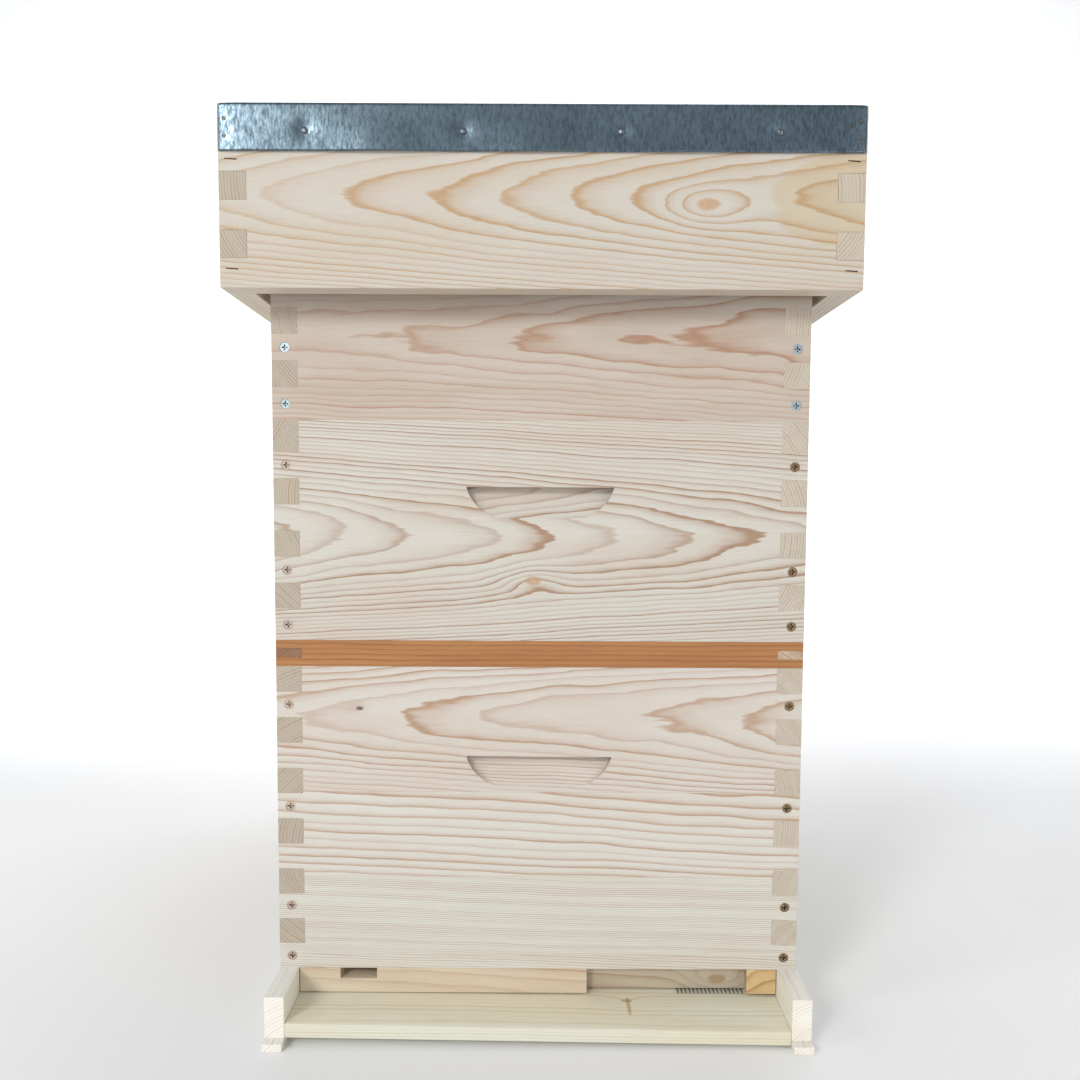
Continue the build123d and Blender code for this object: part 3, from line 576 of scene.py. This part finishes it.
def roof_cap(material):
    """The folded sheet: tight at its pins, sprung out a little between them, dented at each nail."""
    low, high = (Vector(corner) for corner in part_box("roof_sheet"))
    centre = (low + high) / 2
    half_x = (high.x - low.x) / 2
    half_y = (high.y - low.y) / 2
    nails = nail_places()

    def ring_points(inset, z, bulge):
        """Points once round the cap, with rounded corners, each moved in or out along its outward direction.
        """
        radius = max(CORNER_R - inset, 0.6 * MM)
        flat_x = half_x - inset - radius
        flat_y = half_y - inset - radius
        points = []
        corners = ((1, -1, -90), (1, 1, 0), (-1, 1, 90), (-1, -1, 180))
        for number, (sx, sy, start) in enumerate(corners):
            hub = Vector((centre.x + sx * flat_x, centre.y + sy * flat_y, z))
            for step in range(CORNER_STEPS + 1):
                angle = math.radians(start + 90 * step / CORNER_STEPS)
                out = Vector((math.cos(angle), math.sin(angle), 0))
                points.append((hub + out * radius, out))
            here = points[-1]
            nx, ny, _ = corners[(number + 1) % 4]
            angle = math.radians(corners[(number + 1) % 4][2])
            out = Vector((math.cos(angle), math.sin(angle), 0))
            there = Vector((centre.x + nx * flat_x, centre.y + ny * flat_y, z)) + out * radius
            count = SIDE_STEPS if number % 2 else END_STEPS
            for step in range(1, count):
                share = step / count
                point = here[0].lerp(there, share)
                points.append((point, out))
        return [dented(point, out, bulge) for point, out in points]

    def dented(point, out, bulge):
        """The sheet springs out between fixings and is driven in round each nail."""
        nearest = min((point - nail).length for nail, _ in nails)
        corner = min(abs(abs(point.x - centre.x) - half_x), half_x)
        corner = corner if abs(out.y) > 0.5 else min(abs(abs(point.y - centre.y) - half_y), half_y)
        free = min(1.0, nearest / (45 * MM)) * min(1.0, corner / (60 * MM))
        dent = math.exp(-(nearest / DENT_R) ** 2)
        wander = WANDER * math.sin(point.x * 61 + point.y * 47 + point.z * 90)
        bowed = bulge * (SKIRT_SPRING * free ** 1.5 + wander * free)
        stood_off = STAND_OFF * (1 - dent) * min(1.0, corner / (12 * MM))
        return point + out * max(bowed + stood_off - PRESSED_IN, -PRESSED_IN)

    def build(work):
        rows = []
        skirt_low, skirt_high = low.z, high.z - BEND_R
        rows.append(ring_points(SHEET_LIP, skirt_low + 0.1 * MM, 1.0))
        for level in range(SKIRT_LEVELS + 1):
            share = level / SKIRT_LEVELS
            z = skirt_low + (skirt_high - skirt_low) * share
            rows.append(ring_points(0.0, z, (1 - share) ** 1.2))
        for step in range(1, BEND_STEPS + 1):
            angle = math.radians(90 * step / BEND_STEPS)
            inset = BEND_R * (1 - math.cos(angle))
            rows.append(ring_points(inset, skirt_high + BEND_R * math.sin(angle), 0.0))
        for inset in TOP_INSETS:
            spring = TOP_SPRING * min(1.0, inset / 0.05)
            row = ring_points(inset, high.z, 0.0)
            rows.append([Vector((p.x, p.y, p.z + spring * (0.6 + 0.4 * math.sin(p.x * 23 + p.y * 17))))
                         for p in row])
        grid = [[work.verts.new(point) for point in row] for row in rows]
        for lower, upper in zip(grid, grid[1:]):
            for index in range(len(lower)):
                after = (index + 1) % len(lower)
                work.faces.new((lower[index], lower[after], upper[after], upper[index]))
        work.faces.new(grid[-1])
        bmesh.ops.recalc_face_normals(work, faces=work.faces)

    cap = object_from("roof_cap", build, material, "roof", ("roof_sheet",))
    for face in cap.data.polygons:
        face.use_smooth = True


def nail_places():
    """(place, outward) of each flat-headed nail, on the face of the skirt."""
    low, high = (Vector(corner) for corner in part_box("roof_sheet"))
    centre = (low + high) / 2
    z = low.z + NAIL_UP
    places = []
    for step in (-1.5, -0.5, 0.5, 1.5):
        for y, out in ((low.y, -1), (high.y, 1)):
            places.append((Vector((centre.x + step * NAIL_PITCH, y, z)), Vector((0, out, 0))))
    for step in (-2, -1, 0, 1, 2):
        for x, out in ((low.x, -1), (high.x, 1)):
            places.append((Vector((x, centre.y + step * NAIL_PITCH, z)), Vector((out, 0, 0))))
    return places


def lathe(work, place, out, profile, segments=20, lean=(0.0, 0.0)):
    """Turns (radius, height) points about out, from the rim up to a closed crown."""
    up = Vector((0, 0, 1))
    side = out.cross(up).normalized()
    axis = (out + side * lean[0] + up * lean[1]).normalized()
    first = axis.cross(up).normalized()
    second = axis.cross(first)
    rings = []
    for radius, height in profile[:-1]:
        ring = []
        for step in range(segments):
            angle = 2 * math.pi * step / segments
            arm = first * math.cos(angle) + second * math.sin(angle)
            ring.append(work.verts.new(place + axis * height + arm * radius))
        rings.append(ring)
    crown = work.verts.new(place + axis * profile[-1][1])
    for lower, upper in zip(rings, rings[1:]):
        for step in range(segments):
            after = (step + 1) % segments
            work.faces.new((lower[step], lower[after], upper[after], upper[step]))
    for step in range(segments):
        work.faces.new((rings[-1][step], rings[-1][(step + 1) % segments], crown))
    work.faces.new(list(reversed(rings[0])))


# radius and height of a nail's head, from below the sheet to its crown
NAIL_HEAD = [(1.2 * MM, -1.5 * MM), (1.4 * MM, -0.2 * MM), (2.3 * MM, 0.0), (2.35 * MM, 0.25 * MM),
             (1.9 * MM, 0.6 * MM), (1.0 * MM, 0.78 * MM), (0, 0.82 * MM)]
NAIL_LEAN = 0.16


def roof_nails(material):
    """Small domed nail heads, each driven in at its own slight angle."""
    chance = random.Random(5)

    def build(work):
        for place, out in nail_places():
            lean = (chance.uniform(-NAIL_LEAN, NAIL_LEAN), chance.uniform(-NAIL_LEAN, NAIL_LEAN))
            lathe(work, place + out * 0.15 * MM, out, NAIL_HEAD, lean=lean)
        bmesh.ops.recalc_face_normals(work, faces=work.faces)

    heads = object_from("roof_nail_heads", build, material, "roof", ("roof_nails",))
    for face in heads.data.polygons:
        face.use_smooth = True


# ---------------------------------------------------------------- wires
def rod(work, start, end, radius, segments=8):
    """A round wire with closed ends."""
    start, end = Vector(start), Vector(end)
    axis = (end - start).normalized()
    helper = Vector((0, 0, 1)) if abs(axis.z) < 0.9 else Vector((1, 0, 0))
    first = axis.cross(helper).normalized()
    second = axis.cross(first)
    rings = []
    for point in (start, end):
        ring = []
        for step in range(segments):
            angle = 2 * math.pi * step / segments
            arm = first * math.cos(angle) + second * math.sin(angle)
            ring.append(work.verts.new(point + arm * radius))
        rings.append(ring)
    for step in range(segments):
        after = (step + 1) % segments
        work.faces.new((rings[0][step], rings[0][after], rings[1][after], rings[1][step]))
    work.faces.new(list(reversed(rings[0])))
    work.faces.new(rings[1])


def excluder_wires(material):
    """Round wires along the hive, welded over seven cross wires, in place of the plain grid."""
    low, high = (Vector(corner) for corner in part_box("excluder_wire_grid"))
    wire, cross_wire, pitch = 1.05 * MM, 1.2 * MM, 6.4 * MM
    mid_z = (low.z + high.z) / 2
    cross_z = mid_z - 0.6 * MM
    crossings = 7

    def build(work):
        count = int((high.x - low.x - 6 * MM) / pitch)
        for index in range(count + 1):
            x = (low.x + high.x) / 2 + (index - count / 2) * pitch
            rod(work, (x, low.y + 1 * MM, mid_z), (x, high.y - 1 * MM, mid_z), wire)
        for index in range(crossings):
            y = low.y + 8 * MM + (high.y - low.y - 16 * MM) * index / (crossings - 1)
            rod(work, (low.x + 1 * MM, y, cross_z), (high.x - 1 * MM, y, cross_z), cross_wire)

    wires = object_from("excluder_wires", build, material, "queen_excluder",
                        ("excluder_wire_grid",))
    for face in wires.data.polygons:
        face.use_smooth = len(face.vertices) == 4


LOOSE_ENDS = 17                  # wire ends under the reducer's recess
LOOSE_FROM_X = 112               # in millimetres, as is their pitch
LOOSE_PITCH = 3.2
LOOSE_R = 0.45 * MM


def floor_wire_cloth(material):
    """Fine wire cloth, one layer of wires laid on another, and its loose ends under the reducer."""
    low, high = (Vector(corner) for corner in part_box("floor_mesh"))
    pitch, thick = 3.2 * MM, 0.32 * MM
    mid_z = (low.z + high.z) / 2
    upper_z = mid_z + thick * 0.8
    lower_z = mid_z - thick * 0.8
    board_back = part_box("landing_board")[1][1]
    reducer_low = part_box("entrance_reducer")[0]
    loose_z = reducer_low[2] - 0.6 * MM

    def build(work):
        count_x = int((high.x - low.x - 2 * MM) / pitch)
        count_y = int((high.y - low.y - 2 * MM) / pitch)
        for index in range(count_x + 1):
            x = low.x + 1 * MM + index * pitch
            rod(work, (x, low.y + 1 * MM, upper_z), (x, high.y - 1 * MM, upper_z), thick, 5)
        for index in range(count_y + 1):
            y = low.y + 1 * MM + index * pitch
            rod(work, (low.x + 1 * MM, y, lower_z), (high.x - 1 * MM, y, lower_z), thick, 5)
        for index in range(LOOSE_ENDS):
            x = (LOOSE_FROM_X + index * LOOSE_PITCH) * MM
            rod(work, (x, reducer_low[1] + 2.5 * MM, loose_z), (x, board_back - 0.5 * MM, loose_z),
                LOOSE_R, 6)

    object_from("floor_wire_cloth", build, material, "bottom_board", ("floor_mesh",))


# ---------------------------------------------------------------- dressing
dress_boards()
dress_rims()
dress_floor()
dress_frames()
roof_cap(galvanised("galvanised_sheet"))
pin_steel = plated("pin_steel", colour(124, 130, 136), colour(70, 72, 76), 0.3)
roof_nails(pin_steel)
excluder_wires(plated("excluder_steel", colour(190, 192, 190), colour(120, 120, 116), 0.32))
floor_wire_cloth(plated("cloth_steel", colour(150, 152, 150), colour(86, 84, 80), 0.4))
paint("roof_corner_pins", plated("dull_pins", colour(120, 118, 116), colour(70, 62, 58), 0.45))
paint("roof_staples", plated("staple_wire", colour(96, 66, 52), colour(60, 40, 34), 0.5))
paint("super_2_screws", plated("zinc_screws", colour(206, 222, 226), colour(130, 150, 160), 0.25))
bronze = plated("bronze_screws", colour(176, 150, 118), colour(92, 72, 54), 0.32, 0.7,
                painted_highlight_left=colour(226, 204, 186))
for screws in ("super_1_screws", "brood_screws", "floor_screws"):
    paint(screws, bronze)


# ---------------------------------------------------------------- stage, light and camera
FLOOR_HALF_WIDTH = 6.0
FLOOR_FRONT_Y = -4.0
CURVE_FROM_Y = 2.2
CURVE_R = 1.6
CURVE_STEPS = 12
BACKDROP_TOP_Z = 5.0


def stage_floor():
    """A pale floor that curves up into a backdrop behind the hive."""
    work = bmesh.new()
    rows = [(FLOOR_FRONT_Y, 0.0), (CURVE_FROM_Y, 0.0)]
    for step in range(1, CURVE_STEPS + 1):
        angle = math.radians(90 * step / CURVE_STEPS)
        rows.append((CURVE_FROM_Y + CURVE_R * math.sin(angle), CURVE_R * (1 - math.cos(angle))))
    rows.append((CURVE_FROM_Y + CURVE_R, BACKDROP_TOP_Z))
    grid = [[work.verts.new((x, y, z)) for x in (-FLOOR_HALF_WIDTH, FLOOR_HALF_WIDTH)] for y, z in rows]
    for lower, upper in zip(grid, grid[1:]):
        work.faces.new((lower[0], lower[1], upper[1], upper[0]))
    mesh = bpy.data.meshes.new("studio_floor")
    work.to_mesh(mesh)
    work.free()
    for face in mesh.polygons:
        face.use_smooth = True
    floor = bpy.data.objects.new("studio_floor", mesh)
    bpy.context.scene.collection.objects.link(floor)
    tree = Tree("studio_paper")
    soft = tree.noise(tree.coordinates(), scale=3.0)
    paper = tree.mix(soft, (0.90, 0.90, 0.90, 1), (0.93, 0.93, 0.93, 1))
    tree.put(tree.shader.inputs["Base Color"], paper)
    tree.shader.inputs["Roughness"].default_value = 0.9
    mesh.materials.append(tree.material)


SKY_STRENGTH = 0.46
# name, place, target, width of the disk in metres, power in watts
LIGHTS = (
    ("key_light", (-1.9, -3.4, 2.0), (0, 0, 0.35), 1.1, 62),
    ("side_light", (-2.3, -1.25, 1.7), (0, -0.2, 0.3), 0.6, 9),
    ("fill_light", (2.4, -3.0, 0.7), (0, 0, 0.25), 1.8, 20),
    ("top_light", (0.4, 0.9, 2.6), (0, 0, 0.4), 1.5, 16),
    ("backdrop_light_left", (-1.6, 1.0, 1.8), (-0.8, 3.8, 1.2), 1.6, 50),
    ("backdrop_light_right", (1.6, 1.0, 1.8), (0.8, 3.8, 1.2), 1.6, 50),
)


def area_light(name, place, target, size, power):
    """A round lamp at place that shines towards target."""
    lamp = bpy.data.lights.new(name, "AREA")
    lamp.shape = "DISK"
    lamp.size = size
    lamp.energy = power
    holder = bpy.data.objects.new(name, lamp)
    holder.location = place
    direction = Vector(target) - Vector(place)
    holder.rotation_euler = direction.to_track_quat("-Z", "Y").to_euler()
    bpy.context.scene.collection.objects.link(holder)


def studio_light():
    """The lamps, and a world that is dim and bluish as light but pale where the camera sees it."""
    world = bpy.data.worlds.new("studio_world")
    world.use_nodes = True
    nodes, links = world.node_tree.nodes, world.node_tree.links
    shine = nodes["Background"]
    shine.inputs[0].default_value = (0.93, 0.96, 1.0, 1)
    shine.inputs[1].default_value = SKY_STRENGTH
    pale = nodes.new("ShaderNodeBackground")
    pale.inputs[0].default_value = (0.97, 0.97, 0.97, 1)
    seen = nodes.new("ShaderNodeLightPath")
    choice = nodes.new("ShaderNodeMixShader")
    links.new(seen.outputs["Is Camera Ray"], choice.inputs[0])
    links.new(shine.outputs[0], choice.inputs[1])
    links.new(pale.outputs[0], choice.inputs[2])
    links.new(choice.outputs[0], nodes["World Output"].inputs[0])
    bpy.context.scene.world = world
    for light in LIGHTS:
        area_light(*light)


SENSOR_MM = 36.0
LENS_MM = 32.52
LENS_SHIFT = (0.0070, 0.0363)
CAMERA_X = -0.0045
CAMERA_BACK = 0.7517             # from the face of the boxes
CAMERA_HEIGHT = 0.4028
CAMERA_TURN = (0.0720, -0.0045, -0.0016)     # pitch down, roll and yaw, in radians


def photo_camera():
    """Low and close in front of the hive."""
    data = bpy.data.cameras.new("camera")
    data.sensor_width = SENSOR_MM
    data.lens = LENS_MM
    data.shift_x, data.shift_y = LENS_SHIFT
    data.clip_start = 0.01
    camera = bpy.data.objects.new("camera", data)
    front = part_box("brood_front_board")[0][1]
    camera.location = (CAMERA_X, front - CAMERA_BACK, CAMERA_HEIGHT)
    pitch, roll, yaw = CAMERA_TURN
    turn = Matrix.Rotation(-yaw, 4, "Z") @ Matrix.Rotation(math.pi / 2 - pitch, 4, "X")
    turn = turn @ Matrix.Rotation(-roll, 4, "Z")
    camera.rotation_euler = turn.to_euler()
    bpy.context.scene.collection.objects.link(camera)
    bpy.context.scene.camera = camera


stage_floor()
studio_light()
photo_camera()
bpy.context.scene.view_settings.view_transform = "Standard"
